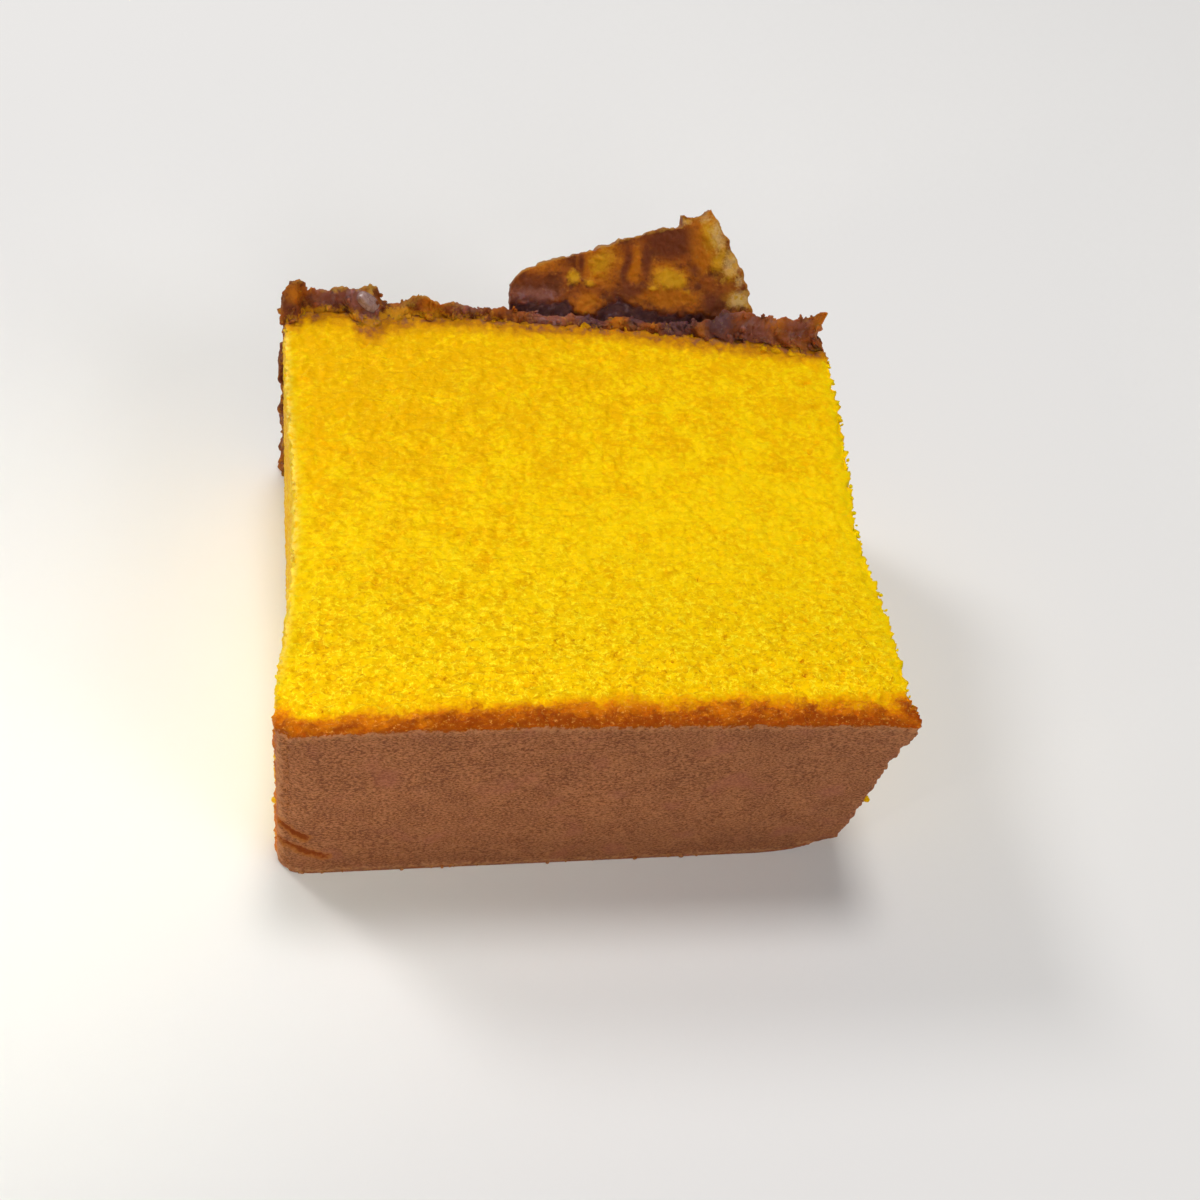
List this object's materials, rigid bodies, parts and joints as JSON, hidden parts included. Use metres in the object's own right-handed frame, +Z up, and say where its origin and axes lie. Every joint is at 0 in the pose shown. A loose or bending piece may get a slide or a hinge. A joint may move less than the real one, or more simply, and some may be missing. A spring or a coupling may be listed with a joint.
{
  "type": "castella sponge cake slice",
  "caption": "Thick slice of castella sponge cake lying on a cut face, with a smooth brown skin on its front and a torn sticky skin on its back that stands up in a flap.",
  "frame": {"origin": "middle of the slice's outline, on the surface that it lies on", "axes": "+X across the loaf, from the left end to the right end of its smooth top skin; +Y from the top skin to the torn bottom skin; +Z up through the slice, out of its upper cut face"},
  "size_m": [0.0676, 0.0699, 0.04],
  "materials": {
    "crumb": "soft, open, slightly moist egg-yellow sponge crumb; the top skin on its front is matte brown",
    "skin": "sticky, syrupy brown bottom skin, torn and lumpy, thin enough to glow amber at its edges",
    "sugar": "coarse sugar crystal, half melted, cloudy and wet"
  },
  "bodies": {
    "root": {"castella_slice": "crumb"}
  },
  "joints": []
}
